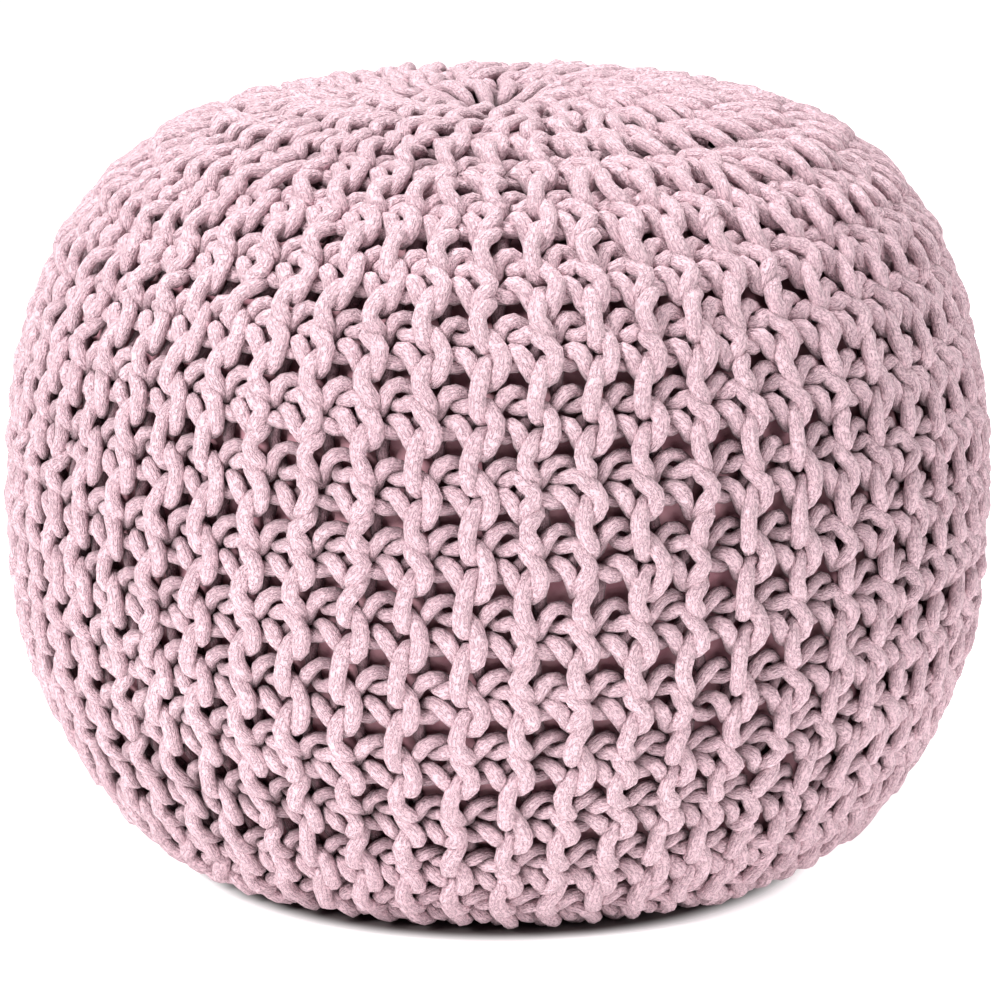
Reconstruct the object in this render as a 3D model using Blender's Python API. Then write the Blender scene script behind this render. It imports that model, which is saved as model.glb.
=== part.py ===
"""Round knitted pouf: a ribbed cord cover drawn up over a filled inner bag.

Two pieces, as they are fitted together:
  knit_cover     thick cotton cord in garter stitch, knitted sideways, so its ribs run from the
                 crown to the base like the lines of a melon; drawn up round a small eye on top
  filled_casing  the sewn inner bag with its filling, which the cover is stretched over

Units are metres, +Z is up, and the origin is the centre of the flat base.
"""

import bpy
import numpy as np

# Overall form
POUF_RADIUS = 0.210  # from the axis to the crests of the ribs at the widest level
CROWN_RISE = 0.178  # from the widest level up to the crown, before its dimple
BELLY_DEPTH = 0.192  # how deep the lower half would reach if nothing pressed it flat
BASE_DROP = 0.148  # from the widest level down to the flat base
BASE_ROUNDING = 0.006  # half the height over which the side rolls into the base
FLAT_RADIUS = 0.140  # every row of points inside this radius lies on the base
DIMPLE_DEPTH = 0.006  # how far the drawn-up knit pulls the crown in
DIMPLE_RADIUS = 0.063

# Squareness of each quarter section: the powers of a superellipse, where 2 is an ellipse
CROWN_POWER_OUT = 3.2
CROWN_POWER_UP = 2.36
BELLY_POWER_OUT = 2.4
BELLY_POWER_DOWN = 2.3

# Knitted cover
COVER_THICKNESS = 0.018  # two and a half cords, from the inner bag to the crests
LONG_RIBS = 28  # these run all the way from the base to the eye
RIB_DEPTH = 0.005  # crest to furrow
EYE_RADIUS = 0.005  # hole left where the knit is drawn up
SHORT_RIB_ENDS = (0.100, 0.150)  # radii between which every second rib dies out on the crown
BASE_FADE = 0.035  # length of side over which the ribs rise from the base
EYE_FADE = 0.085  # radius within which the ribs flatten towards the eye

# Inner bag
CLEARANCE = 0.0004  # between the bag and the inside of the cover

# Meshing
COLUMNS_PER_LONG_RIB = 8  # a long rib, a furrow, a short rib and a furrow, each in two steps
OUTER_COLUMNS = LONG_RIBS * COLUMNS_PER_LONG_RIB
INNER_COLUMNS = LONG_RIBS * 2
ROW_SPACING = 0.027  # along the section, from the base to the eye
SECTION_SAMPLES = 2000

ANGLE = np.linspace(-np.pi / 2, np.pi / 2, SECTION_SAMPLES)


def remove_all_objects():
    """Empty the scene."""
    for existing in list(bpy.data.objects):
        bpy.data.objects.remove(existing, do_unlink=True)


def pressed_flat(height):
    """Height above the base plane of a belly that rolls smoothly onto it."""
    rolling = (height + BASE_ROUNDING) ** 2 / (4 * BASE_ROUNDING)
    lifted = np.where(height > BASE_ROUNDING, height, rolling)
    return np.where(height < -BASE_ROUNDING, 0.0, lifted)


def section(angle, inset):
    """Radius and height of the turned section at each angle, from -90 at the base centre to
    +90 at the crown.  Each quarter is a superellipse drawn in by the inset, its lower one is
    pressed flat on the base, and its upper one sinks at the dimple."""
    across = np.clip(np.cos(angle), 0.0, 1.0)
    along = np.abs(np.sin(angle))
    upper = angle >= 0
    radius_power = np.where(upper, CROWN_POWER_OUT, BELLY_POWER_OUT)
    radius = (POUF_RADIUS - inset) * across ** (2 / radius_power)
    crown = (CROWN_RISE - inset) * along ** (2 / CROWN_POWER_UP)
    crown -= DIMPLE_DEPTH * np.exp(-((radius / DIMPLE_RADIUS) ** 2))
    belly = -(BELLY_DEPTH - inset) * along ** (2 / BELLY_POWER_DOWN)
    base_level = inset
    belly = base_level + pressed_flat(belly + BASE_DROP - inset)
    return radius, np.where(upper, crown + BASE_DROP, belly)


def row_angles():
    """Angles of the section's rows: one at the rim of the flat base, then even steps along the
    outside to the rim of the eye."""
    radius, height = section(ANGLE, 0.0)
    steps = np.hypot(np.diff(radius), np.diff(height))
    distance = np.concatenate([[0.0], np.cumsum(steps)])
    last = distance[-1] - EYE_RADIUS
    count = round((last - FLAT_RADIUS) / ROW_SPACING)
    stations = np.linspace(FLAT_RADIUS, last, count + 1)
    return np.interp(stations, distance, ANGLE), stations - FLAT_RADIUS


def smooth_rise(value, start, end):
    """0 before start, 1 after end, and an S-curve between."""
    share = np.clip((value - start) / (end - start), 0.0, 1.0)
    return share * share * (3 - 2 * share)


def rib_wave(turn, count):
    """Rounded crests with narrow furrows, count of them in a full turn: 1 on a crest."""
    return np.sqrt(0.5 + 0.5 * np.cos(turn * count))


def rib_height(turn, radius, risen, on_crown):
    """Share of the rib depth at each point, from 0 in a furrow to 1 on a crest.  Between the
    long ribs stand the short ones, which die out on the crown."""
    every_rib = rib_wave(turn, 2 * LONG_RIBS)
    near_long = np.cos(turn * LONG_RIBS) > 0
    short_share = np.where(on_crown, smooth_rise(radius, *SHORT_RIB_ENDS), 1.0)
    height = np.where(near_long, every_rib, every_rib * short_share)
    at_eye = np.where(on_crown, smooth_rise(radius, 0.0, EYE_FADE), 1.0)
    strength = smooth_rise(risen, 0.0, BASE_FADE) * at_eye
    return 1 - strength * (1 - height)


def around(count):
    """Angles of count evenly spaced columns."""
    return np.arange(count) * 2 * np.pi / count


def ring_points(radius, height, turn):
    """Points of rows and columns, from arrays that broadcast to one shape."""
    radius, height, turn = np.broadcast_arrays(radius, height, turn)
    return np.stack([radius * np.cos(turn), radius * np.sin(turn), height], axis=-1)


def ribbed_rows(angles, risen):
    """The cover's outside: rows of points between the crest section and the furrow section."""
    turn = around(OUTER_COLUMNS)[None, :]
    crest_radius, crest_height = (part[:, None] for part in section(angles, 0.0))
    furrow_radius, furrow_height = (part[:, None] for part in section(angles, RIB_DEPTH))
    share = rib_height(turn, crest_radius, risen[:, None], angles[:, None] > 0)
    radius = furrow_radius + (crest_radius - furrow_radius) * share
    height = furrow_height + (crest_height - furrow_height) * share
    return ring_points(radius, height, turn)


def plain_rows(angles, inset):
    """Rows of points on a smooth turned surface."""
    radius, height = (part[:, None] for part in section(angles, inset))
    return ring_points(radius, height, around(INNER_COLUMNS)[None, :])


def wall_faces(first, rows, columns, outward):
    """Quads between neighbouring rows of a closed ring, with the first row numbered from
    first and the rows running from the base to the crown."""
    faces = []
    for row in range(rows - 1):
        low = first + row * columns
        for column in range(columns):
            after = (column + 1) % columns
            quad = [low + column, low + after, low + columns + after, low + columns + column]
            faces.append(quad if outward else quad[::-1])
    return faces


def fan_faces(first, columns, centre, upward):
    """Triangles from one ring to a centre point."""
    faces = []
    for column in range(columns):
        after = (column + 1) % columns
        triangle = [first + column, first + after, centre]
        faces.append(triangle if upward else triangle[::-1])
    return faces


def eye_faces(outer_first, inner_first):
    """The eye's short wall, from the outside's top ring down to the inside's top ring.  Each
    inner column meets a whole number of outer columns."""
    ratio = OUTER_COLUMNS // INNER_COLUMNS
    faces = []
    for column in range(INNER_COLUMNS):
        inner = inner_first + column
        inner_after = inner_first + (column + 1) % INNER_COLUMNS
        for step in range(ratio):
            outer = outer_first + column * ratio + step
            outer_after = outer_first + (column * ratio + step + 1) % OUTER_COLUMNS
            faces.append([outer, outer_after, inner])
        last = outer_first + (column + 1) * ratio % OUTER_COLUMNS
        faces.append([last, inner_after, inner])
    return faces


def cotton(name, colour, roughness):
    """A plain cotton material."""
    material = bpy.data.materials.new(name)
    material.use_nodes = True
    shader = material.node_tree.nodes["Principled BSDF"]
    shader.inputs["Base Color"].default_value = (*colour, 1.0)
    shader.inputs["Roughness"].default_value = roughness
    shader.inputs["Metallic"].default_value = 0.0
    return material


def add_object(name, points, faces, material):
    """A smooth-shaded mesh object of its own."""
    mesh = bpy.data.meshes.new(name)
    mesh.from_pydata(points.tolist(), [], faces)
    mesh.validate()
    mesh.materials.append(material)
    mesh.shade_smooth()
    mesh.set_sharp_from_angle(angle=np.radians(50))
    piece = bpy.data.objects.new(name, mesh)
    bpy.context.collection.objects.link(piece)
    return piece


def knit_cover(angles, risen):
    """The cover: a ribbed outside, a smooth inside, a closed base and an open eye on top."""
    outside = ribbed_rows(angles, risen)
    inside = plain_rows(angles, COVER_THICKNESS)
    rows = len(angles)
    base_centre = np.array([[0.0, 0.0, 0.0], [0.0, 0.0, COVER_THICKNESS]])
    points = np.concatenate([outside.reshape(-1, 3), inside.reshape(-1, 3), base_centre])
    inner_first = rows * OUTER_COLUMNS
    centre = inner_first + rows * INNER_COLUMNS
    faces = wall_faces(0, rows, OUTER_COLUMNS, outward=True)
    faces += wall_faces(inner_first, rows, INNER_COLUMNS, outward=False)
    faces += fan_faces(0, OUTER_COLUMNS, centre, upward=False)
    faces += fan_faces(inner_first, INNER_COLUMNS, centre + 1, upward=True)
    faces += eye_faces((rows - 1) * OUTER_COLUMNS, inner_first + (rows - 1) * INNER_COLUMNS)
    material = cotton("blush_cord", (0.74, 0.53, 0.57), 0.9)
    return add_object("knit_cover", points, faces, material)


def filled_casing(angles):
    """The inner bag with its filling: one closed solid a little smaller than the cover."""
    inset = COVER_THICKNESS + CLEARANCE
    skin = plain_rows(angles, inset)
    rows = len(angles)
    crown_radius, crown_height = section(np.array([np.pi / 2]), inset)
    centres = np.array([[0.0, 0.0, inset], [0.0, 0.0, crown_height[0]]])
    points = np.concatenate([skin.reshape(-1, 3), centres])
    base_centre = rows * INNER_COLUMNS
    faces = wall_faces(0, rows, INNER_COLUMNS, outward=True)
    faces += fan_faces(0, INNER_COLUMNS, base_centre, upward=False)
    faces += fan_faces((rows - 1) * INNER_COLUMNS, INNER_COLUMNS, base_centre + 1, upward=True)
    material = cotton("mauve_lining", (0.55, 0.33, 0.37), 0.85)
    return add_object("filled_casing", points, faces, material)


def main():
    remove_all_objects()
    angles, risen = row_angles()
    knit_cover(angles, risen)
    filled_casing(angles)


main()
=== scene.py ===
# %% [markdown]
# # A hand-knitted pouf, built strand by strand
#
# The real object is a round bag of light filling inside a cover that is knitted by hand from
# one long cotton cord. The cover is garter stitch: every row is knit stitches, so each pair of
# rows stands up as a ridge. It is knitted sideways, which makes the ridges run from the crown
# to the base like the lines of a melon.
#
# A painted or embossed surface can't show this. The look comes from cords that pass over and under
# each other, with deep gaps between them. So this script makes the cord itself: one stitch is
# shaped, its strands push each other apart until they lie as soft cord does, and nearly two
# thousand of them are laid over the pouf.

import bpy
import numpy as np
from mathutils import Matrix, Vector


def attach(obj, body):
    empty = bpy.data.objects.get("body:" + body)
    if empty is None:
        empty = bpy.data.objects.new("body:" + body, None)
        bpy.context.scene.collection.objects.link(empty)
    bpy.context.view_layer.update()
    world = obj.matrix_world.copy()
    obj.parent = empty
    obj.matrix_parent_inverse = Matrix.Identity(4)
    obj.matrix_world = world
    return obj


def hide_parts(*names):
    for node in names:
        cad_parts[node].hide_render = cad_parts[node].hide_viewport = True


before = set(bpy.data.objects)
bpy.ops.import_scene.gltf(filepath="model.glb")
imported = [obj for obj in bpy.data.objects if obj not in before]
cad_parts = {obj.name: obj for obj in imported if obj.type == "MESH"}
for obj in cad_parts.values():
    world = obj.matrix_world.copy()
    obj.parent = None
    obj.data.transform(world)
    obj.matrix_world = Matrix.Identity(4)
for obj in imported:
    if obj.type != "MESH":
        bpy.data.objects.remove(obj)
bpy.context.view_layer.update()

# %% [markdown]
# ## The form, and the layer that the knitting lies in
#
# A filled pouf is nearly a turned form: a rounded box above, a deeper belly below, and a base
# that its own weight presses flat. It could be sculpted, but a formula gives every stitch an
# exact place and direction, so this is the CAD's turned section once more. The knitting is
# measured in millimetres from here on. Its middle layer lies 8.6 mm under the crests, because
# a stitch is about 17 mm thick.
#
# A place on that layer has two numbers: the way walked along the section from the middle of
# the base, and the angle round the axis. `Layer` turns the first into a radius, a height and
# an outward direction.

# %% The turned section
POUF_RADIUS, CROWN_RISE, BELLY_DEPTH, BASE_DROP = 210.0, 178.0, 192.0, 148.0
BASE_ROUNDING = 6.0  # half the height over which the side rolls into the base
DIMPLE_DEPTH, DIMPLE_RADIUS = 6.0, 63.0
CROWN_POWERS = (3.2, 2.36)
BELLY_POWERS = (2.4, 2.3)


def section(angle, inset):
    """Radius and height of the form at an inset under the crests, for angles from -pi/2 to pi/2.

    Each quarter is a superellipse: radius = R cos(a)^(2/p), height = H sin(a)^(2/q).
    A height h under the floor becomes 0, with (h + c)^2 / 4c to round the join.
    """
    across, along = np.clip(np.cos(angle), 0, 1), np.abs(np.sin(angle))
    upper = angle >= 0
    power = np.where(upper, CROWN_POWERS[0], BELLY_POWERS[0])
    radius = (POUF_RADIUS - inset) * across ** (2 / power)
    crown = (CROWN_RISE - inset) * along ** (2 / CROWN_POWERS[1]) + BASE_DROP
    crown -= DIMPLE_DEPTH * np.exp(-((radius / DIMPLE_RADIUS) ** 2))
    over = BASE_DROP - inset - (BELLY_DEPTH - inset) * along ** (2 / BELLY_POWERS[1])
    rolled = (over + BASE_ROUNDING) ** 2 / (4 * BASE_ROUNDING)
    over = np.where(over > BASE_ROUNDING, over, np.where(over < -BASE_ROUNDING, 0, rolled))
    return radius, np.where(upper, crown, over + inset)


print("height at the middle of the crown: %.0f mm" % section(np.array([np.pi / 2]), 0.0)[1][0])

# %% The layer, as a walk along the section
SECTION_STEPS, WALK_STEPS = 6001, 1201
SOFTENED = 25  # steps of the walk over which its direction is averaged
KNIT_INSET = 8.6  # from the crests to the middle of the knitting


class Layer:
    """The form at one inset, as a walk along its section from base centre to crown centre."""

    def __init__(self, inset):
        radius, height = section(np.linspace(-np.pi / 2, np.pi / 2, SECTION_STEPS), inset)
        walked = np.append(0, np.cumsum(np.hypot(np.diff(radius), np.diff(height))))
        self.length = walked[-1]
        self.way = np.linspace(0, self.length, WALK_STEPS)
        self.radius = np.interp(self.way, walked, radius)
        self.height = np.interp(self.way, walked, height)
        soft = np.hanning(SOFTENED) / np.hanning(SOFTENED).sum()
        margin = SOFTENED // 2
        mirrored = np.pad(self.radius, margin, mode="reflect", reflect_type="odd")
        slope_out = np.gradient(np.convolve(mirrored, soft, "valid"), self.way)
        mirrored = np.pad(self.height, margin, mode="reflect")
        slope_up = np.gradient(np.convolve(mirrored, soft, "valid"), self.way)
        steep = np.hypot(slope_out, slope_up)
        self.out, self.up = slope_up / steep, -slope_out / steep

    def at(self, way, turn):
        """Points on the layer and their outward directions, (n, 3) arrays in mm.

        A point is (r cos(turn), r sin(turn), height), and its direction turns the same way.
        """
        way = np.clip(way, 0, self.length)
        radius, height, out, up = (
            np.interp(way, self.way, part)
            for part in (self.radius, self.height, self.out, self.up)
        )
        cos, sin = np.cos(turn), np.sin(turn)
        place = np.stack([radius * cos, radius * sin, height], -1)
        return place, np.stack([out * cos, out * sin, up], -1)


knit_layer = Layer(KNIT_INSET)
print("from base centre to crown centre:", round(knit_layer.length), "mm")

# %% [markdown]
# ## One stitch
#
# A garter ridge is made of two rows of loops. In one row the loops' feet come forward as a
# bump and their heads go to the back; in the next row it is the other way round. The second
# row is therefore the first one turned over, so a single path gives both.
#
# A stitch could be drawn from formulas of sines, but real loops lean and double back in ways that
# such formulas miss. The path below is given point by point, as one would bend a piece of cord:
# across the ridges, along them, and out of the surface.

# %% Sizes of the cord and of the knitting
CORD = 6.6  # thickness of the cord
RIDGES = 56  # round the belly
STITCHES = 20  # from the base to the crown
ENDS = 26.0  # how far from the axis the longest ridges turn back
RIDGE_PITCH = 2 * np.pi * (POUF_RADIUS - KNIT_INSET) / RIDGES
STITCH_PITCH = (knit_layer.length - 2 * ENDS) / STITCHES
print("ridge pitch %.1f mm, stitch pitch %.1f mm" % (RIDGE_PITCH, STITCH_PITCH))

# %% The given path of one stitch
HAND_PITCHES = (24.6, 27.5)  # the ridge and stitch pitch that the path was placed for
HAND_SCALE = 0.915  # of its depth
# across, along, out
HAND_PATH = np.array(
    [
        (-5.4, 11.1, 7.0),
        (-4.2, 6.6, 7.0),
        (-0.8, 4.2, 3.5),
        (3.2, 6.8, 0.3),
        (7.7, 9.6, 0.0),
        (12.7, 11.3, -1.5),
        (17.3, 10.6, -4.5),
        (20.9, 7.0, -7.0),
        (22.2, 1.7, -7.5),
        (21.0, -3.6, -7.0),
        (17.2, -7.2, -5.0),
        (12.2, -8.2, -2.5),
        (7.0, -7.4, -0.8),
        (2.2, -7.2, 0.5),
        (-2.2, -9.2, 4.5),
        (-4.8, -12.6, 6.8),
    ]
)
print("the path's reach across, along and out:", np.ptp(HAND_PATH, axis=0), "mm")


# %% Smooth curves through points
def eased(t):
    """Smooth step 3t^2 - 2t^3 from 0 to 1, so eased((x - a) / b) starts at a and ends at a + b."""
    t = np.clip(t, 0, 1)
    return t * t * (3 - 2 * t)


def smooth_path(points, steps, lap=0.0):
    """A Catmull-Rom curve through points that repeat, moved by lap each time round.

    From b to c, with a before and d after, and t from 0 to 1, the curve is
    (2b + (c - a) t + (2a - 5b + 4c - d) t^2 + (3b - a - 3c + d) t^3) / 2.
    """
    before, after, beyond = (np.roll(points, shift, 0) for shift in (1, -1, -2))
    before[0] -= lap
    after[-1] += lap
    beyond[-2:] += lap
    t = (np.arange(steps) / steps)[None, :, None]
    a, b, c, d = (part[:, None] for part in (before, points, after, beyond))
    bend, twist = 2 * a - 5 * b + 4 * c - d, 3 * b - a - 3 * c + d
    return ((2 * b + (c - a) * t + bend * t**2 + twist * t**3) / 2).reshape(-1, 3)


def spaced(path, count, lap=0.0, weight=1.0):
    """count points at equal steps of weighted length along a path that repeats after lap."""
    closed = np.vstack([path, path[:1] + lap])
    step = np.linalg.norm(np.diff(closed, axis=0), axis=1) * weight
    walked = np.append(0, np.cumsum(step))
    at = np.linspace(0, walked[-1], count, endpoint=False)
    return np.stack([np.interp(at, walked, closed[:, axis]) for axis in range(3)], 1)


# %% [markdown]
# ## How soft cord settles
#
# In the real cover nothing but the cord's own softness decides where each strand lies: the
# strands press on each other until they are at rest. Blender's Cloth has no cords that cross,
# so this is a small simulation of its own.
#
# Every point of the cord feels four things: its segment wants its own length, the cord
# resists sharp bends, no two strands may come nearer than `PRESSED`, and the fabric is drawn
# flat over the filling. Moving each point a little along the sum of these, many times, is
# enough. The same function settles one repeating stitch and, later, the whole cover, where
# each point may also be held near the place it started from.

# %% Settling
PRESSED = 4.6  # how near two crossing cords come: soft cord flattens a little
STIFFNESS, CONTACT, FLATNESS = 0.03, 1.5, 0.02
GAIN, KEPT, FASTEST, STEP = 0.2, 0.9, 0.3, 0.4  # how force becomes speed, and speed a move
PAIRS_LAST = 25  # rounds until near pairs are found anew


def gathered(values, index, count):
    """Sum of the rows of values that share an index: (count, 3)."""
    parts = [np.bincount(index, values[:, axis], count) for axis in range(3)]
    return np.stack(parts, 1)


def settle(points, after, lap, rest, pairs, rounds, base, out, home=0.0, stiff=STIFFNESS):
    """Move the points of the cords until their forces nearly balance.

    stretch   (l - rest) along each segment
    bending   stiff * (2c - c_next - c_previous), where c = x_next - 2x + x_previous
    contact   CONTACT * (PRESSED - d) apart, for each pair nearer than PRESSED
    flatness  -FLATNESS * height over the base plane
    holding   home * (start - x), where home is one number or one for each point
    """
    first, second, offset = pairs(points)
    before = np.argsort(after)
    start, speed = points.copy(), np.zeros_like(points)
    for done in range(rounds):
        if offset is None and done and done % PAIRS_LAST == 0:
            first, second, offset = pairs(points)
        ahead = points[after] + lap - points
        length = np.linalg.norm(ahead, axis=1, keepdims=True)
        pull = (length - rest) * ahead / length
        bend = ahead - ahead[before]
        force = pull - pull[before] + stiff * (2 * bend - bend[after] - bend[before])
        apart = points[first] - points[second]
        if offset is not None:
            apart -= offset
        distance = np.sqrt((apart * apart).sum(1))
        touching = distance < PRESSED
        push = (CONTACT * (PRESSED / distance[touching] - 1))[:, None] * apart[touching]
        force += gathered(push, first[touching], len(points))
        force -= gathered(push, second[touching], len(points))
        force -= FLATNESS * ((points - base) * out).sum(1, keepdims=True) * out
        force += home * (start - points)
        speed = (speed + force * GAIN) * KEPT
        pace = np.maximum(np.linalg.norm(speed, axis=1), 1e-9)
        speed *= np.minimum(1, FASTEST / pace)[:, None]
        points = points + speed * STEP
    return points


# %% Near pairs in a fabric of one repeating stitch
SAMPLES = 22  # points for one stitch while it settles
NEIGHBOURS = 3  # points this near along one cord don't push each other


def cell_pairs(cell):
    """Pairs of the cell's points and their copies in the cells around it, with the shift
    (over ridge pitches, up stitch pitches, 0) of each copy."""
    rows = np.repeat([0, 1], SAMPLES)
    along = np.tile(np.arange(SAMPLES), 2)
    found = []
    for over in (0, 1):
        for up in range(-2, 3):
            if over == 0 and up < 0:
                continue
            shift = np.array([over * RIDGE_PITCH, up * STITCH_PITCH, 0])
            gap = np.linalg.norm(cell[:, None] - cell[None] - shift, axis=2)
            near = gap < 2 * CORD
            same = (rows[:, None] == rows[None]) & (over == 0)
            steps = np.abs(along[:, None] - along[None] - up * SAMPLES)
            near &= ~(same & (steps <= NEIGHBOURS))
            if over == 0 and up == 0:
                near = np.triu(near, 1)
            one, two = np.nonzero(near)
            found.append((one, two, np.tile(shift, (len(one), 1))))
    return tuple(np.concatenate(parts) for parts in zip(*found))


# %% Settle one stitch
STITCH_CORD = 74.0  # length of cord that a stitch wants while it settles
BACK_ROW_LOWER = -0.9  # the second row's shift along the ridge
CELL_ROUNDS, CELL_STIFFNESS = 400, 0.055
lap = np.array([0, STITCH_PITCH, 0])
hand = HAND_PATH * (
    RIDGE_PITCH / HAND_PITCHES[0],
    STITCH_PITCH / HAND_PITCHES[1],
    HAND_SCALE,
)
feet_front = hand[::-1]
feet_back = hand * (1, -1, -1) + (RIDGE_PITCH / 2, BACK_ROW_LOWER, 0)
rows = [spaced(smooth_path(row, 20, lap), SAMPLES, lap) for row in (feet_front, feet_back)]
cell = np.concatenate(rows)
row_after = np.roll(np.arange(SAMPLES), -1)
cell_after = np.concatenate([row_after, SAMPLES + row_after])
wrap = np.zeros((2 * SAMPLES, 3))
wrap[[SAMPLES - 1, 2 * SAMPLES - 1]] = lap
cell = settle(
    cell,
    cell_after,
    wrap,
    STITCH_CORD / SAMPLES,
    cell_pairs,
    CELL_ROUNDS,
    0.0,
    np.array([0, 0, 1.0]),
    stiff=CELL_STIFFNESS,
)
print("a stitch settles to %.1f mm thick" % (np.ptp(cell[:, 2]) + CORD))

# %% [markdown]
# ## The shape that the knitter's pull gives
#
# A knitter pulls each loop tight, and the tension stays in the cord. Settling alone leaves
# the loops rounder than that. More forces would need more tuning, so the settled stitch is
# warped a little instead. Nothing is moved so far that a crossing changes.
#
# The legs of a loop are drawn together, which opens the round holes beside them. The arcs
# that stand in front get shorter, hook in under the ridge at their ends and stand further
# out. The arcs at the back move sideways, away from the holes.

# %% Draw the legs together and shape the arcs
DRAWN = (3.6, 5.6)  # how far the legs of one loop are drawn together, each way
DRAWN_START, DRAWN_DEPTH = 0.45, 5.5  # where that wave starts, and the depth it fades in
FRONT_DEPTH = 2.2  # a strand this far out counts as in front
BACK_START, BACK_DEPTH = 0.6, 1.5  # and as behind from 0.6 * 1.5 mm inwards
BETWEEN_DEPTH = 3  # and as between the two within this distance of the middle
ARC_MIDDLES = (12.0, -3.1)  # where the two arcs of a ridge have their middles
ARC_HEIGHT = 0.68  # the front arcs' height, as a share of what settling leaves
ARC_HOOK = 1.2  # how far their ends hook in under the ridge
ARC_CLOSER = (0.0, -0.8)  # sideways shift that draws the two arcs together
BACK_WIDER = (3.5, -3.5)  # sideways shift of the arcs at the back, away from the gaps
RELIEF = 1.1  # how far the arcs stand out, and the strands between them lie back

wave = np.sin(2 * np.pi * (cell[:, 1] + DRAWN_START) / STITCH_PITCH)
drawn = np.where(wave > 0, *DRAWN) * np.clip(1 - (cell[:, 2] / DRAWN_DEPTH) ** 2, 0, 1)
cell[:, 1] -= drawn * wave
in_front = eased(cell[:, 2] / FRONT_DEPTH)
middle = np.repeat(ARC_MIDDLES, SAMPLES)
along = (cell[:, 1] - middle + STITCH_PITCH / 2) % STITCH_PITCH - STITCH_PITCH / 2
cell[:, 1] -= (1 - ARC_HEIGHT) * in_front * along
behind = eased(-cell[:, 2] / BACK_DEPTH - BACK_START)
cell[:, 0] += np.repeat(BACK_WIDER, SAMPLES) * behind
hook = ARC_HOOK * in_front * (1 - np.cos(2 * np.pi * along / STITCH_PITCH))
cell[:, 0] += np.repeat([1.0, -1.0], SAMPLES) * hook
cell[:, 0] += np.repeat(ARC_CLOSER, SAMPLES) * in_front
between = np.clip(1 - np.abs(cell[:, 2]) / BETWEEN_DEPTH, 0, 1)
cell[:, 2] += RELIEF * (in_front - between)
stitch = cell.reshape(2, SAMPLES, 3)
thick = np.ptp(stitch[..., 2]) + CORD
length = np.linalg.norm(cell[cell_after] + wrap - cell, axis=1).sum() / 2
print("a shaped stitch: %.1f mm of cord, %.1f mm thick" % (length, thick))

# %% [markdown]
# ## Where the ridges run
#
# The belly has more room than the crown, so a knitter makes some rows shorter than others.
# All ridges could be squeezed evenly towards the axis instead, but then the stitches there
# would be too narrow for their own cord.
#
# Of every four ridges here, one runs all the way, and the others turn back one, two or four
# stitches earlier, at the crown and at the base alike. Where a ridge ends, its neighbours
# close in over about a stitch. `open_width` is each ridge's share of the way round, 1 where
# it runs and 0 where it has ended, and the running total of those shares places the ridges
# evenly at any height.

# %% Where each ridge runs
EARLY = np.array([0, 4, 1, 2])  # stitches by which the four kinds of ridge fall short
KINDS = len(EARLY)
GROUPS = RIDGES // KINDS
counts = STITCHES - 2 * EARLY


def open_width(way):
    """Share of the way round of the four kinds of ridge, at a way along the section: (4, n)."""
    low = ENDS + EARLY[:, None] * STITCH_PITCH
    high = knit_layer.length - low
    rising = eased((way[None] - low) / STITCH_PITCH + 0.5)
    falling = eased((high - way[None]) / STITCH_PITCH + 0.5)
    share = rising * falling
    share[0] = 1  # the longest ridges run all the way
    return share


print("stitches in a row of each kind:", counts)

# %% [markdown]
# ## Unevenness, and how the filled cover slumps
#
# No two stitches of hand knitting are alike, and rows drift by a few millimetres. `wander`
# adds slow waves in three directions. Noise at every point would make the cord itself
# crooked, and slow waves move whole stitches.
#
# A filled bag also isn't a perfect turned form. `slump` makes the shoulder fuller, more so to
# the right, lets the cover sag over the rim of its base, takes it in a little on the left,
# and sinks the middle of the crown, where the knitting is drawn up.

# %% Slow waves
chance = np.random.default_rng(26)
WAVES = 14
WANDER = np.array([2.0, 1.6, 0.6])  # round the axis, along the ridge and outwards, in mm
EVEN_ENDS, EVEN_FADE = 30, 60  # mm of way without drift at both ends, and to the full drift
MEAN_RADIUS = 200  # turns a distance round the pouf into an angle
wave_turns = chance.integers(2, 10, (3, WAVES))
wave_rises = chance.uniform(-1, 1, (3, WAVES)) * 0.10
wave_starts = chance.uniform(0, 2 * np.pi, (3, WAVES))


def wander(turn, way):
    """Three slow wavy offsets in mm: sums of sin(m turn + k way + start)."""
    phase = (
        wave_turns[..., None] * turn
        + wave_rises[..., None] * way
        + wave_starts[..., None]
    )
    wave = np.sin(phase).sum(1) / np.sqrt(WAVES)
    fade = eased((way - EVEN_ENDS) / EVEN_FADE)
    fade = fade * eased((knit_layer.length - EVEN_ENDS - way) / EVEN_FADE)
    return wave * WANDER[:, None] * fade


round_belly = np.linspace(0, 2 * np.pi, 360)
drift = wander(round_belly, np.full(360, knit_layer.length / 2))
print("most drift at the belly, in mm:", np.abs(drift).max(axis=1).round(1))


# %% Fuller and slimmer places
SHOULDER, RIM, LOW_SIDE = (275, 38), (22, 18), (50, 28)  # heights in mm, and spreads
FULLER = (2.6, 1.9)  # mm at the shoulder: all round, and times c
SAGS = (2.4, 0.5, 3.2)  # mm at the rim of the base: all round, times c, and less times c^2
LEFT_LOW_IN = 0.9  # mm that the low side is taken in, times 1 - c
CROWN_SINKS = 5  # mm at the middle


def bell(value, middle, spread):
    """exp(-((value - middle) / spread)^2): 1 at the middle, nearly 0 two spreads away."""
    return np.exp(-(((value - middle) / spread) ** 2))


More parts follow.
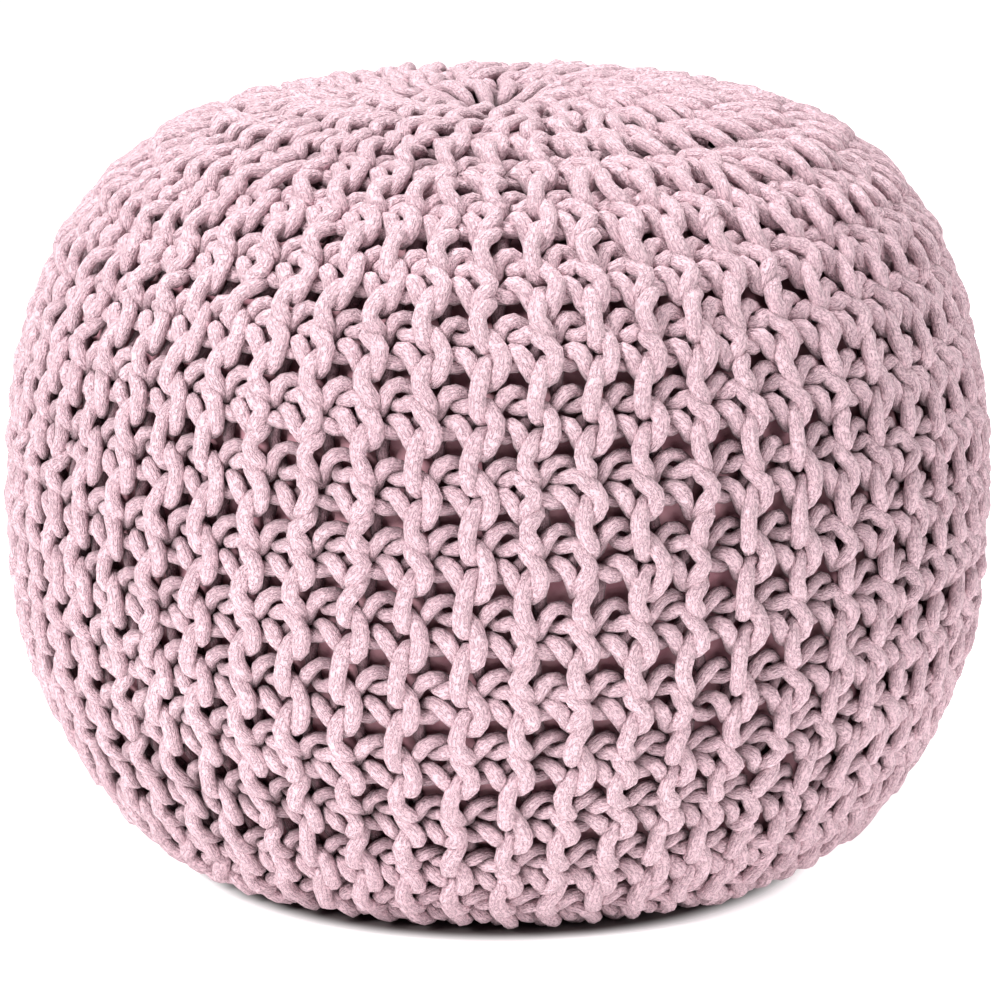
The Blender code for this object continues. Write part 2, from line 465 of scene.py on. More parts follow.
def slump(base, way, turn):
    """How far the cover stands out from its turned form, in mm, at places of the layer.

    Each part is a bell over the height, times a mix of 1, c and c^2, where c = cos(turn) is
    1 on the right and -1 on the left.
    """
    radius, height = np.hypot(base[:, 0], base[:, 1]), base[:, 2]
    right = np.cos(turn)
    sink = CROWN_SINKS * eased((32 - radius) / 22)
    full = eased((knit_layer.length - 60 - way) / 70) * bell(height, *SHOULDER)
    full *= FULLER[0] + FULLER[1] * right
    full -= (1 - right) * eased((height - 290) / 20)
    sag = (SAGS[0] + SAGS[1] * right - SAGS[2] * right**2) * bell(height, *RIM)
    sag *= eased((radius - 110) / 30)
    sag -= LEFT_LOW_IN * (1 - right) * bell(height, *LOW_SIDE)
    return full + sag - sink


ways, turns = np.meshgrid(knit_layer.way, np.linspace(0, 2 * np.pi, 72))
ways, turns = ways.ravel(), turns.ravel()
slumps = slump(knit_layer.at(ways, turns)[0], ways, turns)
print("the cover stands out from its form by %.1f to %.1f mm" % (slumps.min(), slumps.max()))

# %% [markdown]
# ## Laying the stitches over the pouf
#
# The stitch is flat so far. To bend it round the form, each point's place along the ridge
# becomes a way along the section, its place across becomes an angle, and its height stands
# out from the layer. A Curve or Lattice modifier could bend it too, but couldn't make the
# ridges narrower and drop some of them on the way.
#
# Where ridges are squeezed together near the crown, the strands between them have no room
# and lie deeper.

# %% From the flat stitch to the form
LEAN = 0.06  # sideways drift of the ridges on their way up
HOLLOWS_DEEPER = 0.5  # at the crown, where the ridges are squeezed to nothing
SQUEEZED_MOST = 0.4  # the narrowest ridge that still counts, as a share of the full pitch


def laid(kind, group, cord):
    """Points of the knit layer for cord points (across, along, out) of one ridge, (n, 3), with
    their places on the layer and its outward directions.

    turn = 2 pi (ridges before this one + 1/2 + across / pitch) / ridges in all, each ridge
    counted by its open width.
    """
    way = cord[:, 1]
    share = open_width(way)
    total = share.sum(0)
    place = group * total + share[:kind].sum(0) + 0.5 + cord[:, 0] / RIDGE_PITCH
    turn = 2 * np.pi * place / (GROUPS * total)
    turn += LEAN * (way - knit_layer.length / 2) / MEAN_RADIUS - np.pi / 2
    uneven_turn, uneven_way, uneven_out = wander(turn, way)
    base, out = knit_layer.at(way + uneven_way, turn + uneven_turn / MEAN_RADIUS)
    radius = np.hypot(base[:, 0], base[:, 1])
    base = base + out * slump(base, way, turn)[:, None]
    pitch = 2 * np.pi * radius / (GROUPS * total)
    squeezed = 1 - np.clip(pitch / RIDGE_PITCH, SQUEEZED_MOST, 1)
    near_crown = eased((base[:, 2] - 230) / 50)
    deeper = 1 + HOLLOWS_DEEPER * squeezed * near_crown * eased((radius - 20) / 30)
    rise = np.where(cord[:, 2] < 0, cord[:, 2] * deeper, cord[:, 2])
    return base + out * (rise + uneven_out)[:, None], base, out


# %% The cord of one ridge
SIZE_VARIES, PLACE_VARIES = 0.05, 0.5  # from stitch to stitch: a share, and mm
TURN_BACK = 12  # how far a ridge's cord swings out to reach its other row
REACH_IN = 21  # the same for every second of the longest ridges, so that the middle closes


def bow(start, end, rise):
    """A half-round turn from one row to the next: middle - cos(a) half + sin(a) rise."""
    a = np.linspace(0, np.pi, 9)[1:-1, None]
    middle, half = (start + end) / 2, (end - start) / 2
    return middle - np.cos(a) * half + np.sin(a) * np.array([0, rise, 0])


def ridge_cord(kind, group):
    """One closed run of cord for a ridge: up the feet-front row, round, and down the other row.

    A point is stitch * size + shift + (0, start of the stitch, 0).
    """
    turn_back = REACH_IN if kind == 0 and group % 2 else TURN_BACK
    count = counts[kind]
    starts = ENDS + (EARLY[kind] + 0.5 + np.arange(count)) * STITCH_PITCH
    rise = np.stack([starts * 0, starts, starts * 0], 1)[:, None]
    size = 1 + SIZE_VARIES * chance.standard_normal((2, count, 1, 1))
    shift = chance.normal(0, PLACE_VARIES, (2, count, 1, 3))
    up = (stitch[0] * size[0] + shift[0] + rise).reshape(-1, 3)
    down = (stitch[1] * size[1] + shift[1] + rise).reshape(-1, 3)[::-1]
    over, under = bow(up[-1], down[0], turn_back), bow(down[-1], up[0], -turn_back)
    return np.concatenate([up, over, down, under])


# %% Lay all the ridges
cords, bases, outs, starts_at = [], [], [], [0]
for ridge in range(RIDGES):
    kind, group = ridge % KINDS, ridge // KINDS
    flat = ridge_cord(kind, group)
    flat = spaced(smooth_path(flat, 4), len(flat))
    on_form, base, out = laid(kind, group, flat)
    cords.append(on_form)
    bases.append(base)
    outs.append(out)
    starts_at.append(starts_at[-1] + len(flat))
strand = np.concatenate(cords)
base, out = np.concatenate(bases), np.concatenate(outs)
print(len(strand), "points of cord,", 2 * counts.sum() * GROUPS, "stitches")

# %% [markdown]
# ## Settling the whole cover
#
# In the real cover every strand has found its place between its neighbours. Here the cords of
# neighbouring ridges still run through each other in places, above all near the crown, where
# the stitches are squeezed. A few rounds of the same settling sort that out, and near the
# crown the strands are held nearer the places they were laid in, so that the rows stay clear.
#
# Comparing every point with every other would take minutes, so pairs of near points are
# found by sorting all points into cubes and looking only into the cubes beside each.

# %% Neighbours along each cord
ridge_of = np.repeat(np.arange(RIDGES), np.diff(starts_at))
place_in = np.arange(len(strand)) - np.array(starts_at)[ridge_of]
length_of = np.diff(starts_at)[ridge_of]
after = np.arange(len(strand)) + 1
after[np.array(starts_at[1:]) - 1] = starts_at[:-1]
rest = np.linalg.norm(strand[after] - strand, axis=1, keepdims=True)
print("cord laid: %.0f m" % (rest.sum() / 1000))


# %% Near pairs over the whole cover
def near_pairs(points, reach=8.0):
    """Pairs of points nearer than reach, except neighbours along one cord.

    A cube (i, j, k) has the key (i * size_y + j) * size_z + k, so the points in the cube
    beside it are a run of the sorted keys.
    """
    cube = np.floor((points - points.min(0)) / reach).astype(np.int64) + 1
    size = cube.max(0) + 2
    key = (cube[:, 0] * size[1] + cube[:, 1]) * size[2] + cube[:, 2]
    order = np.argsort(key, kind="stable")
    ranked = key[order]
    steps = [
        (x, y, z)
        for x in (-1, 0, 1)
        for y in (-1, 0, 1)
        for z in (-1, 0, 1)
        if (x, y, z) >= (0, 0, 0)
    ]
    found = []
    for x, y, z in steps:
        wanted = ranked + (x * size[1] + y) * size[2] + z
        low = np.searchsorted(ranked, wanted, "left")
        count = np.searchsorted(ranked, wanted, "right") - low
        one = np.repeat(np.arange(len(points)), count)
        two = np.arange(len(one)) - np.repeat(np.cumsum(count) - count - low, count)
        if (x, y, z) == (0, 0, 0):
            one, two = one[two > one], two[two > one]
        one, two = order[one], order[two]
        gap = points[one] - points[two]
        near = (gap * gap).sum(1) < reach * reach
        steps_apart = np.abs(place_in[one] - place_in[two])
        steps_apart = np.minimum(steps_apart, length_of[one] - steps_apart)
        near &= (ridge_of[one] != ridge_of[two]) | (steps_apart > NEIGHBOURS)
        found.append((one[near], two[near]))
    one, two = (np.concatenate(parts) for parts in zip(*found))
    return one, two, None


# %% Settle the cover
ROUNDS, ROUNDS_QUICK = 60, 30
HELD, HELD_AT_CROWN = 0.02, 0.15  # how firmly a point is held near its laid place
DEEPEST, HIGHEST = -12, 6.4  # mm out of the layer
rounds = ROUNDS
held = HELD + HELD_AT_CROWN * eased((base[:, 2:] - 225) / 50)
strand = settle(strand, after, 0.0, rest, near_pairs, rounds, base, out, home=held)
height = ((strand - base) * out).sum(1)
print("heights over the layer: %.1f to %.1f mm" % (height.min(), height.max()))
strand += out * (np.clip(height, DEEPEST, HIGHEST) - height)[:, None]
strand[:, 2] = np.maximum(strand[:, 2], CORD / 2 + 0.1)
settled_length = np.linalg.norm(strand[after] - strand, axis=1).sum()
print("cord in the settled cover: %.0f m" % (settled_length / 1000))

# %% [markdown]
# ## Cords
#
# The real cord is a soft tube of spun cotton, a little uneven along its length, and pressed
# flat where it bears on the fabric. A Curve with a bevel would give plain round cord with
# evenly spaced rings. Rings worked out with numpy can come closer together in the bends, and
# each can have its own thickness, which hides that the stitches repeat.
#
# Each ring's frame is carried along from the one before, so that the cord doesn't twist by
# itself. Strands that lie deep in the knitting are drawn thinner than those on top, because
# they are stretched tight there, and each point of a ring is moved in or out by chance, as
# loosely spun cotton is lumpy.
#
# The tube's own coordinates, metres along and turns around, are kept as a UV map for the material,
# which draws the cord's plies with them. The attribute `lift` keeps each point's height over the
# knitted layer, which the material uses to paint shade on cotton deep in the gaps.

# %% Rings along a cord
RINGS = 25  # for one stitch
BOW_RINGS = 16  # for a ridge's two turns
BEND_WEIGHT = 6


def unit(vectors):
    """Vectors divided by their own lengths."""
    return vectors / np.maximum(np.linalg.norm(vectors, axis=-1, keepdims=True), 1e-12)


def cord_rings(points, count):
    """count places along a closed cord, closer together where it bends: each step's weight is
    1 + BEND_WEIGHT * |curvature|, averaged over nine steps."""
    path = smooth_path(points, 4)
    ahead, behind = np.roll(path, -1, 0) - path, path - np.roll(path, 1, 0)
    turn = np.linalg.norm(unit(ahead) - unit(behind), axis=1)
    curve = turn / np.linalg.norm(ahead, axis=1)
    curve = np.convolve(np.pad(curve, 4, mode="wrap"), np.ones(9) / 9, "valid")
    return spaced(path, count, 0.0, 1 + BEND_WEIGHT * curve)


# %% Which way is out, and how far out a place lies
OUT_POWER, UP_POWER = 1.8, 1.35  # between those of the crown and the belly, less one
BASE_LEVEL = 14  # mm over the floor, under which the surface faces down


def surface_direction(places):
    """Outward direction of the form near any places, the slope of its superellipse:
    ((r / R)^p / R outwards, (h / H)^q / H upwards), at length 1."""
    radius = np.hypot(places[..., 0], places[..., 1])
    rise = places[..., 2] - BASE_DROP
    reach = np.where(rise > 0, CROWN_RISE, BELLY_DEPTH)
    out = (radius / POUF_RADIUS) ** OUT_POWER / POUF_RADIUS
    up = np.sign(rise) * np.abs(rise / reach) ** UP_POWER / reach
    down = places[..., 2] < BASE_LEVEL
    out, up = np.where(down, 0.0, out), np.where(down, -1.0, up)
    direction = places / np.maximum(radius, 1e-6)[..., None] * out[..., None]
    direction[..., 2] = up
    return unit(direction)


def lift_over_layer(places):
    """How far places stand out from the knit layer, in mm: the difference of their distances
    from the middle of the form at the same angle, times the cosine to the surface direction."""
    radius, rise = np.hypot(places[..., 0], places[..., 1]), places[..., 2] - BASE_DROP
    layer_rise = knit_layer.height - BASE_DROP
    layer_angle = np.arctan2(layer_rise, knit_layer.radius)
    layer_reach = np.hypot(knit_layer.radius, layer_rise)
    reach = np.interp(np.arctan2(rise, radius), layer_angle, layer_reach)
    away = np.hypot(radius, rise)
    middle = places - (0, 0, BASE_DROP)
    facing = (middle * surface_direction(places)).sum(-1) / np.maximum(away, 1e-6)
    return (away - reach) * facing


lifts = lift_over_layer(strand)
print("lift of the strands: %.1f mm on average, at most %.1f" % (lifts.mean(), lifts.max()))

# %% Thickness along the cord
SWELL = 0.03  # how much thicker and thinner, in waves of about 20 and 36 mm
TOP_WIDER = 1.03
THINNED, THINNED_LESS = 0.26, 0.16  # a sunk strand's loss of thickness, and less at the crown
SUNK_UNDER, SUNK_FADE = 2.6, 4  # mm of lift under which a strand counts as sunk


def thickness(paths, along):
    """The cord's thickness as a share: two slow sine waves along it, less where it is sunk."""
    swell = 1 + SWELL * np.sin(along * 0.31) + SWELL * np.sin(along * 0.173 + 1.0)
    thinned = THINNED - THINNED_LESS * eased((paths[..., 2] - 250) / 40)
    swell *= TOP_WIDER - thinned * eased((SUNK_UNDER - lift_over_layer(paths)) / SUNK_FADE)
    return swell


# %% Round tubes
SIDES = 10
WIDER, FLATTER = 1.04, 0.16  # how soft cord is pressed: wider, and flatter outwards
LUMPS = 0.055  # unevenness of every ring's points, as a share of the thickness
FIRST_SIDE = (0.31, 0.52, 0.79)  # any direction, as long as no cord starts out along it


def carried_frames(tangent):
    """Two side vectors for each ring of closed paths, and the angle that closes each lap.

    The side vector s is carried by s' = s - (s.t)t, and the other is t x s.
    """
    side = np.empty_like(tangent)
    carried = unit(np.cross(tangent[:, 0], FIRST_SIDE))
    for ring in range(tangent.shape[1] + 1):
        t = tangent[:, ring % tangent.shape[1]]
        carried = unit(carried - (carried * t).sum(1, keepdims=True) * t)
        if ring < tangent.shape[1]:
            side[:, ring] = carried
    other = np.cross(tangent, side)
    left = np.arctan2((carried * other[:, 0]).sum(1), (carried * side[:, 0]).sum(1))
    return side, other, left


def tubes(paths, outward, radius):
    """Tubes round closed paths of equal counts: (loops, rings, sides, 3), and metres along.

    A ring is drawn as r (cos(a) s + sin(a) s2), then pressed flat along the surface's outward
    direction n: o' = WIDER o - FLATTER (o.n) n. What the frame has turned after a lap is
    spread evenly over the rings, so the tube closes.
    """
    ahead = np.roll(paths, -1, 1) - paths
    side, other, left = carried_frames(unit(ahead + np.roll(ahead, 1, 1)))
    spin = -left[:, None] * np.arange(paths.shape[1]) / paths.shape[1]
    around = (2 * np.pi * np.arange(SIDES) / SIDES + spin[..., None])[..., None]
    ring = np.cos(around) * side[:, :, None] + np.sin(around) * other[:, :, None]
    facing = (ring * outward[:, :, None]).sum(-1, keepdims=True)
    ring = WIDER * ring - FLATTER * facing * outward[:, :, None]
    along = np.cumsum(np.linalg.norm(ahead, axis=2), 1)
    along = np.concatenate([np.zeros((len(paths), 1)), along], 1)
    swell = thickness(paths, along[:, :-1])
    lumps = 1 + LUMPS * chance.standard_normal(ring.shape[:3])
    return paths[:, :, None] + radius * (swell[..., None] * lumps)[..., None] * ring, along


# %% Meshes from grids of points
def filled_mesh(name, places, quads, uv):
    """A smooth-shaded object from (n, 3) places in metres, (m, 4) corners and (m, 4, 2) UVs."""
    mesh = bpy.data.meshes.new(name)
    mesh.vertices.add(len(places))
    mesh.vertices.foreach_set("co", places.astype(np.float32).ravel())
    mesh.loops.add(quads.size)
    mesh.loops.foreach_set("vertex_index", quads.astype(np.int32).ravel())
    mesh.polygons.add(len(quads))
    mesh.polygons.foreach_set("loop_start", np.arange(0, quads.size, 4, dtype=np.int32))
    mesh.polygons.foreach_set("use_smooth", np.ones(len(quads), bool))
    layer = mesh.uv_layers.new(name="cord")
    layer.data.foreach_set("uv", uv.astype(np.float32).ravel())
    mesh.update(calc_edges=True)
    mesh.validate()
    piece = bpy.data.objects.new(name, mesh)
    bpy.context.scene.collection.objects.link(piece)
    return piece


def tube_mesh(name, parts):
    """One mesh of closed tubes, in metres, with a UV map of metres along and turns around.

    Ring i and side j of a tube make the corners (i, j), (i, j+1), (i+1, j+1), (i+1, j), all
    counted round. No point goes under the floor.
    """
    places, corners, map_u, map_v, first = [], [], [], [], 0
    for grid, along in parts:
        loops, rings, sides = grid.shape[:3]
        index = first + np.arange(loops * rings * sides).reshape(loops, rings, sides)
        ahead, beside = np.roll(index, -1, 1), np.roll(index, -1, 2)
        quads = np.stack([index, beside, np.roll(beside, -1, 1), ahead], -1)
        corners.append(quads.reshape(-1, 4))
        near = np.broadcast_to(along[:, :-1, None], index.shape) / 1000
        far = np.broadcast_to(along[:, 1:, None], index.shape) / 1000
        low = np.broadcast_to(np.arange(sides) / sides, index.shape)
        high = low + 1 / sides
        map_u.append(np.stack([near, near, far, far], -1).reshape(-1, 4))
        map_v.append(np.stack([low, high, high, low], -1).reshape(-1, 4))
        places.append(grid.reshape(-1, 3) / 1000)
        first += index.size
    places = np.concatenate(places)
    places[:, 2] = np.maximum(places[:, 2], 0)
    uv = np.stack([np.concatenate(map_u), np.concatenate(map_v)], -1)
    piece = filled_mesh(name, places, np.concatenate(corners), uv)
    # lift drives the painted shade on deep cotton in the cord's material
    lift = piece.data.attributes.new("lift", "FLOAT", "POINT")
    lift.data.foreach_set("value", lift_over_layer(1000 * places).astype(np.float32))
    return piece


# %% Seven panels of eight ridges
knit_panels = []
for panel in range(GROUPS // 2):
    parts = []
    for kind in range(KINDS):
        ridges = [KINDS * group + kind for group in (2 * panel, 2 * panel + 1)]
        rings = RINGS * 2 * counts[kind] + BOW_RINGS
        paths = [cord_rings(strand[starts_at[r] : starts_at[r + 1]], rings) for r in ridges]
        paths = np.stack(paths)
        parts.append(tubes(paths, surface_direction(paths), CORD / 2))
    knit_panels.append(tube_mesh("knit_panel_%d" % (panel + 1), parts))
triangles = [2 * len(piece.data.polygons) for piece in knit_panels]
print("triangles in the panels:", triangles, "in all", sum(triangles))

# %% [markdown]
# ## The inner bag
#
# Behind the gaps lies the sewn bag that holds the filling, pulled smooth by it. Cloth physics
# could inflate a bag, but the result would be this same tight form, because the cover holds
# it. So it is a plain turned surface further inside, drawn in at the crown and the base with
# the knitting.

# %% Inner bag
BAG_INSET = 14.5  # from the crests to the cloth
AROUND, UP = 96, 60
DRAWN_IN, CROWN_LOWER = 14, 3  # mm, at the poles and over the whole crown
bag_layer = Layer(BAG_INSET)
way = np.linspace(0, bag_layer.length, UP + 1)[1:-1]
turn = 2 * np.pi * np.arange(AROUND) / AROUND
place, out_of = bag_layer.at(np.repeat(way, AROUND), np.tile(turn, UP - 1))
radius = np.hypot(place[:, 0], place[:, 1])
sunk = DRAWN_IN * eased((45 - radius) / 40) + CROWN_LOWER * eased((place[:, 2] - 280) / 20)
place -= out_of * sunk[:, None]
poles = np.array([[0, 0, place[:AROUND, 2].mean()], [0, 0, place[-AROUND:, 2].mean()]])
index = np.arange((UP - 1) * AROUND).reshape(UP - 1, AROUND)
beside = np.roll(index, -1, 1)
quads = np.stack([index[:-1], beside[:-1], beside[1:], index[1:]], -1).reshape(-1, 4)
low_pole, high_pole = np.full(AROUND, len(place)), np.full(AROUND, len(place) + 1)
low_fan = np.stack([low_pole, beside[0], index[0]], 1)
high_fan = np.stack([high_pole, index[-1], beside[-1]], 1)
faces = [*quads.tolist(), *low_fan.tolist(), *high_fan.tolist()]
mesh = bpy.data.meshes.new("inner_bag")
mesh.from_pydata(np.vstack([place, poles]) / 1000, [], faces)
mesh.polygons.foreach_set("use_smooth", np.ones(len(mesh.polygons), bool))
inner_bag = bpy.data.objects.new("inner_bag", mesh)
bpy.context.scene.collection.objects.link(inner_bag)
print("the bag is %.0f mm across and %.0f mm high" % (2 * radius.max(), np.ptp(place[:, 2])))

# %% [markdown]
# ## Materials
#
# A finish is a tree of nodes. Wired one by one it is hard to read, so `Socket` lets node
# outputs be added and multiplied like numbers, and `Graph` makes the nodes behind them.


# %% A small language for shader nodes
class Socket:
    """A node output, so that shader maths reads as arithmetic."""

    def __init__(self, graph, output):
        self.graph, self.output = graph, output

    def __add__(self, other):
        return self.graph.math("ADD", self, other)

    def __sub__(self, other):
        return self.graph.math("SUBTRACT", self, other)

    def __mul__(self, other):
        return self.graph.math("MULTIPLY", self, other)

    def __truediv__(self, other):
        return self.graph.math("DIVIDE", self, other)

    def __pow__(self, other):
        return self.graph.math("POWER", self, other)

    def __rsub__(self, other):
        return self.graph.math("SUBTRACT", other, self)

    def __rtruediv__(self, other):
        return self.graph.math("DIVIDE", other, self)

    def __rpow__(self, other):
        return self.graph.math("POWER", other, self)

    __radd__ = __add__
    __rmul__ = __mul__


class Graph:
    """A material's node tree."""

    def __init__(self, name):
        self.material = bpy.data.materials.new(name)
        self.material.use_nodes = True
        self.tree = self.material.node_tree
        self.surface = self.tree.nodes["Principled BSDF"]

    def node(self, kind, settings=None, out=0, **inputs):
        """Any node: its type, its settings, and its inputs by name or by number as _0, _1."""
        node = self.tree.nodes.new(kind)
        for key, value in (settings or {}).items():
            setattr(node, key, value)
        for key, value in inputs.items():
            number = key[1:]
            name = int(number) if number.isdigit() else key.replace("_", " ")
            self.feed(node.inputs[name], value)
        return Socket(self, node.outputs[out])

    def feed(self, socket, value):
        """Link a socket to the input, or set a plain value on it."""
        if isinstance(value, Socket):
            self.tree.links.new(value.output, socket)
        else:
            socket.default_value = value

    def math(self, operation, *values):
        """A Math node on its first inputs."""
        inputs = {"_%d" % place: value for place, value in enumerate(values)}
        return self.node("ShaderNodeMath", {"operation": operation}, **inputs)

    def vector_math(self, operation, *values, out=0):
        """A Vector Math node; a length comes from its output 1."""
        inputs = {"_%d" % place: value for place, value in enumerate(values)}
        return self.node("ShaderNodeVectorMath", {"operation": operation}, out, **inputs)

    def mix(self, factor, one, two):
        """Colour mix: one where the factor is 0, two where it is 1."""
        settings = {"data_type": "RGBA", "clamp_factor": True}
        return self.node("ShaderNodeMix", settings, 2, _0=factor, _6=one, _7=two)

    def step(self, value, low, high):
        """Smooth 0 to 1 as value goes from low to high."""
        settings = {"interpolation_type": "SMOOTHSTEP"}
        return self.node(
            "ShaderNodeMapRange", settings, Value=value, From_Min=low, From_Max=high
        )

    def object_place(self):
        """Object coordinates: metres that stay with the piece."""
        return self.node("ShaderNodeTexCoord", out=3)

    def noise(self, vector, scale, detail=2.0, rough=0.5):
        """Noise from 0 to 1, with scale spots to the metre."""
        return self.node(
            "ShaderNodeTexNoise", Vector=vector, Scale=scale, Detail=detail, Roughness=rough
        )

    def bump(self, height, strength, distance):
        """A normal tilted by the slope of a height that stands for distance metres."""
        return self.node("ShaderNodeBump", Strength=strength, Distance=distance, Height=height)

    def finish(self, **inputs):
        """Feed the surface's inputs, and hand back the material."""
        for key, value in inputs.items():
            self.feed(self.surface.inputs[key.replace("_", " ")], value)
        return self.material


def srgb(red, green, blue):
    """Linear colour from 0 to 255 sRGB: ((c + 0.055) / 1.055)^2.4 above 0.04045."""
    c = np.array([red, green, blue]) / 255
    linear = np.where(c > 0.04045, ((c + 0.055) / 1.055) ** 2.4, c / 12.92)
    return (*linear, 1.0)


# %% [markdown]
# ### Cotton cord
#
# The cord is soft spun cotton, itself a thin knitted tube: columns of small V shapes run along it.
# On used cotton they are worn away in patches, and loose fibres cover them. The plies could be
# modelled, but 150 metres of cord would need millions of faces, so they are drawn as a bump, with
# painted shade darkening the furrows between them.
#
# A pattern on Object coordinates would cut through the bends. The V shapes follow the tube's own
# coordinates instead: `u` is metres along the cord, `v` turns around it. Wear, fibres, lumps and
# flecks have no direction, so they are plain noise. `lift` darkens what lies deep: this is painted
# shade, standing in for the little light that reaches the gaps.

# %% Cotton cord
COLUMNS = 12.0  # of V shapes round the cord
PLY_LENGTH = 0.0024  # metres along the cord from one V to the next
SLANT, WOBBLE = 1.4, 3.0  # how far the V leans, and how unsteady it is
# between these lifts the painted shade on deep cotton fades out
DEEP, PROUD = -3.8, 4.1  # mm of lift between which the cotton goes from dark to its own colour


def ply_height(g, here):
    """Height of the plies: 1 on a ply or where it is worn smooth, 0 in the furrows between, where
    the cord's colour is darkened as painted shade.

    Along a column it is (1 - |fract(phase) - 1/2| * 2)^0.45, lower between the columns.
    """
    uv = g.node("ShaderNodeUVMap", {"uv_map": "cord"})
    u = g.node("ShaderNodeSeparateXYZ", out=0, Vector=uv)
    v = g.node("ShaderNodeSeparateXYZ", out=1, Vector=uv)
    aside = g.math("ABSOLUTE", g.math("FRACT", v * COLUMNS) - 0.5)
    wobble = g.noise(here, 420.0) * WOBBLE
    phase = u / PLY_LENGTH + aside * SLANT + wobble
    ply = g.math("ABSOLUTE", g.math("FRACT", phase) - 0.5) * 2.0
    valley = g.step(aside, 0.30, 0.5)
    unworn = g.step(g.noise(here, 520.0, 2.0, 0.6), 0.30, 0.54)
    return 1.0 - (1.0 - (1.0 - ply) ** 0.45 * (1.0 - valley * 0.6)) * unworn


def cotton_cord():
    """Dusty pink cotton: patches, plies, fibres, painted shade in the ply furrows and deep in the
    gaps, and flecks, one mixed over the other.
    """
    g = Graph("cotton_cord")
    here = g.object_place()
    height = ply_height(g, here)
    fibre = g.noise(here, 1500.0, 2.0, 0.6)
    lumps = g.noise(here, 300.0, 1.0)
    patch = g.step(g.noise(here, 14.0), 0.3, 0.7)
    tone = g.mix(patch, srgb(214, 178, 187), srgb(221, 187, 195))
    # painted shade: the furrows between the plies are mixed towards dark mauve
    tone = g.mix(1.0 - height, tone, srgb(138, 98, 112))
    tone = g.mix(fibre * 0.35, tone, srgb(234, 208, 216))
    lift = g.node("ShaderNodeAttribute", {"attribute_name": "lift"}, 2)
    # painted shade: cotton lying deep in the gaps is mixed towards this dark red-brown
    tone = g.mix(g.step(lift, DEEP, PROUD), srgb(74, 32, 42), tone)
    flecks = g.step(g.noise(here, 800.0, 1.0), 0.60, 0.72)
    tone = g.mix(flecks * 0.4, tone, srgb(150, 106, 120))
    bump = g.bump(height + fibre * 0.3 + lumps * 1.5, strength=0.9, distance=0.0006)
    return g.finish(
        Base_Color=tone, Roughness=0.9, Normal=bump, Sheen_Weight=0.15, Sheen_Roughness=0.5
    )


cord_material = cotton_cord()
for piece in knit_panels:
    piece.data.materials.append(cord_material)
print("nodes in the cord's material:", len(cord_material.node_tree.nodes))

# %% [markdown]
# ### Bag cloth
#
# The bag is a thin plain weave in a mauve pink, and the filling shows through it as faint dimples.
# Its colour is drawn deeper than the cloth's own, as painted shade that keeps the gaps dark. Only
# small parts of it show, so two noises are enough: one for the beads, one for the weave.


# %% Bag cloth
def bag_cloth():
    """Mauve cloth, drawn darker than its own pink as painted shade for the gaps: a slow noise
    tints and dents it, a fine one roughens it.
    """
    g = Graph("inner_bag_cloth")
    here = g.object_place()
    beads = g.noise(here, 120.0)
    weave = g.noise(here, 1400.0, 1.0)
    # both tones are set darker than the cloth's own pink: painted shade for the gaps
    tone = g.mix(g.step(beads, 0.35, 0.65), srgb(174, 118, 130), srgb(202, 148, 158))
    bump = g.bump(beads + weave * 0.2, strength=0.5, distance=0.001)
    return g.finish(Base_Color=tone, Roughness=0.85, Normal=bump)


bag_material = bag_cloth()
inner_bag.data.materials.append(bag_material)
print("nodes in the bag's material:", len(bag_material.node_tree.nodes))

# %% [markdown]
# ## What each piece stands for
#
# The panels of cord stand for the CAD's ribbed cover, and the bag for its filled casing, so the
# simple solids are hidden where these show.

# %% Frame calls
for piece in knit_panels:
    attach(piece, "root")
    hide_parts("knit_cover")
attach(inner_bag, "root")
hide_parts("filled_casing")
print("pieces:", [piece.name for piece in (*knit_panels, inner_bag)])

# %% [markdown]
# ## Floor, light and camera
#
# A product like this stands on white paper that runs on out of sight. So the floor is large
# enough to reach the horizon from any side, and it glows a little, which keeps it white.
# A glowing floor would also light the pouf's underside and swallow its shadow, so the glow stops
# in a round patch under the base, and the patch is painted dark as a shadow. The pouf hides most
# of the patch, and its front edge shows as the thin painted shadow where the cover meets the
# floor.
#
# Three round soft lights do the rest: the key from the left and front, a weaker one from the
# right, and one over the crown. Light from straight in front would flatten the knitting, but
# from the side each cord shades the gap next to it.

# %% Floor
FLOOR_REACH = 40  # metres to each side
# middle and radii of the painted contact shadow on the floor
PAINTED_SHADOW_MIDDLE = (0, -0.03, 0)
PAINTED_SHADOW_RADII = (0.118, 0.138)  # metres, from full shade to none


def paper_floor():
    """White paper outside the contact patch, with a painted shadow inside it: both by the distance
    from its middle, and the glow fades with the white."""
    g = Graph("floor")
    here = g.object_place()
    from_middle = g.vector_math("LENGTH", g.vector_math("SUBTRACT", here, PAINTED_SHADOW_MIDDLE), out=1)
    clear = g.step(from_middle, *PAINTED_SHADOW_RADII)
    paper = g.mix(g.noise(here, 300.0, 3.0), (0.86, 0.86, 0.86, 1), (0.9, 0.9, 0.9, 1))
    return g.finish(
        # painted shadow: the floor's colour goes near black inside the patch
        Base_Color=g.mix(clear, (0.12, 0.1, 0.1, 1), paper),
        Roughness=0.8,
        Emission_Color=g.mix(clear, (0, 0, 0, 1), (1, 1, 1, 1)),
        Emission_Strength=0.8,
    )


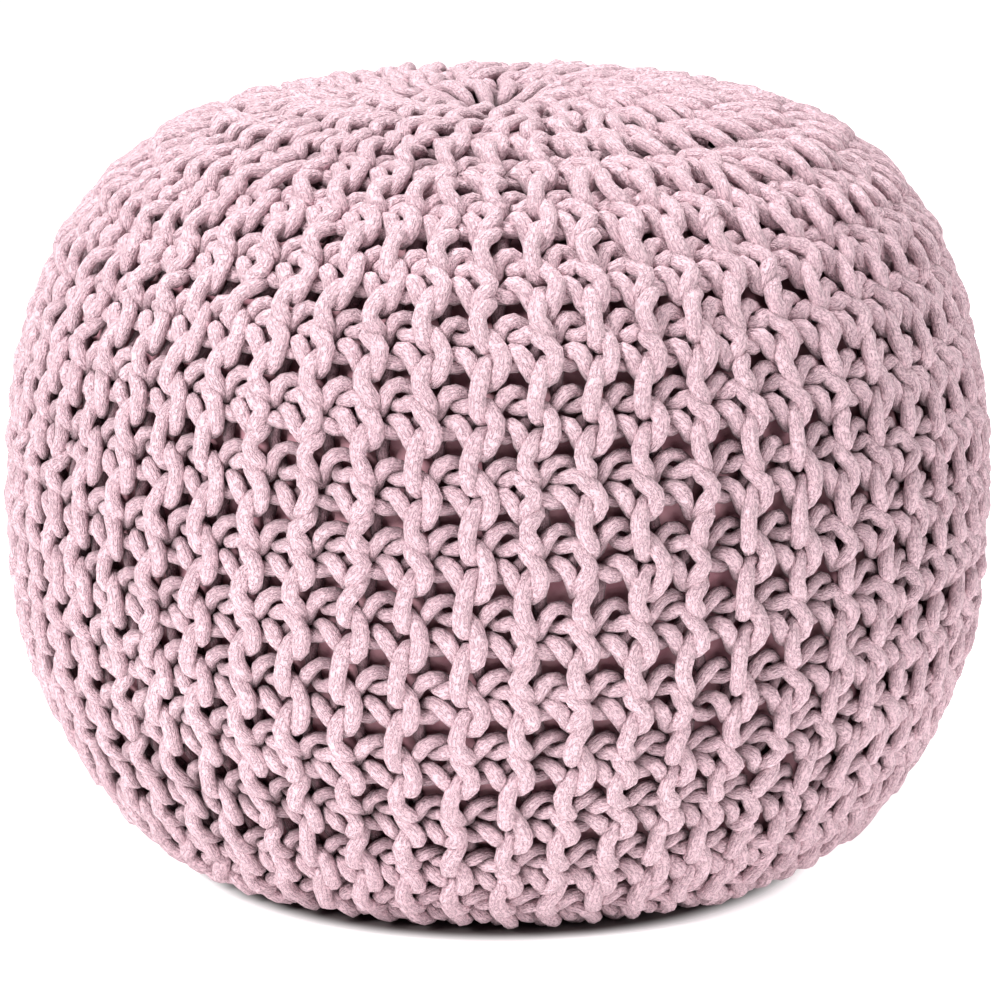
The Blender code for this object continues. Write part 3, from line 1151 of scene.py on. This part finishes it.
floor_mesh = bpy.data.meshes.new("floor")
corner_signs = [(-1, -1, 0), (1, -1, 0), (1, 1, 0), (-1, 1, 0)]
floor_mesh.from_pydata(FLOOR_REACH * np.array(corner_signs), [], [(0, 1, 2, 3)])
floor_mesh.materials.append(paper_floor())
floor = bpy.data.objects.new("floor", floor_mesh)
bpy.context.scene.collection.objects.link(floor)
print("floor:", 2 * FLOOR_REACH, "m across")

# %% World and lights
WORLD_GLOW = 0.05
scene = bpy.context.scene
world = bpy.data.worlds.new("soft_room")
world.use_nodes = True
background = world.node_tree.nodes["Background"]
background.inputs["Color"].default_value = (1, 1, 1, 1)
background.inputs["Strength"].default_value = WORLD_GLOW
scene.world = world
scene.view_settings.view_transform = "Standard"


def soft_light(name, place, aim, size, power):
    """A round area light of a diameter in metres and a power in watts, turned to its aim."""
    light = bpy.data.lights.new(name, "AREA")
    light.shape, light.size, light.energy = "DISK", size, power
    lamp = bpy.data.objects.new(name, light)
    lamp.location = place
    lamp.rotation_euler = (Vector(aim) - Vector(place)).to_track_quat("-Z", "Y").to_euler()
    scene.collection.objects.link(lamp)
    print(name, "at %.1f m, %.0f W" % ((Vector(aim) - Vector(place)).length, power))


soft_light("key_light", (-1.6, -1.5, 1.35), (0, 0, 0.15), size=0.8, power=63.0)
soft_light("fill_light", (1.9, -1.6, 0.9), (0, 0, 0.15), size=1.2, power=23.0)
soft_light("top_light", (0, 0.3, 2.2), (0, 0, 0.2), size=1.4, power=60.0)

# %% Camera
DISTANCE, ELEVATION = 2.1, np.radians(13.3)
FOCAL_LENGTH, SENSOR, FURTHEST = 178.2, 36.0, 200.0
aim = Vector((0.0012, 0, 0.1435))
back = Vector((0, -np.cos(ELEVATION), np.sin(ELEVATION)))
lens = bpy.data.cameras.new("camera")
lens.lens, lens.sensor_width, lens.clip_end = FOCAL_LENGTH, SENSOR, FURTHEST
camera = bpy.data.objects.new("camera", lens)
camera.location = aim + back * DISTANCE
camera.rotation_euler = (-back).to_track_quat("-Z", "Y").to_euler()
scene.collection.objects.link(camera)
scene.camera = camera
print("camera at", [round(value, 3) for value in camera.location])
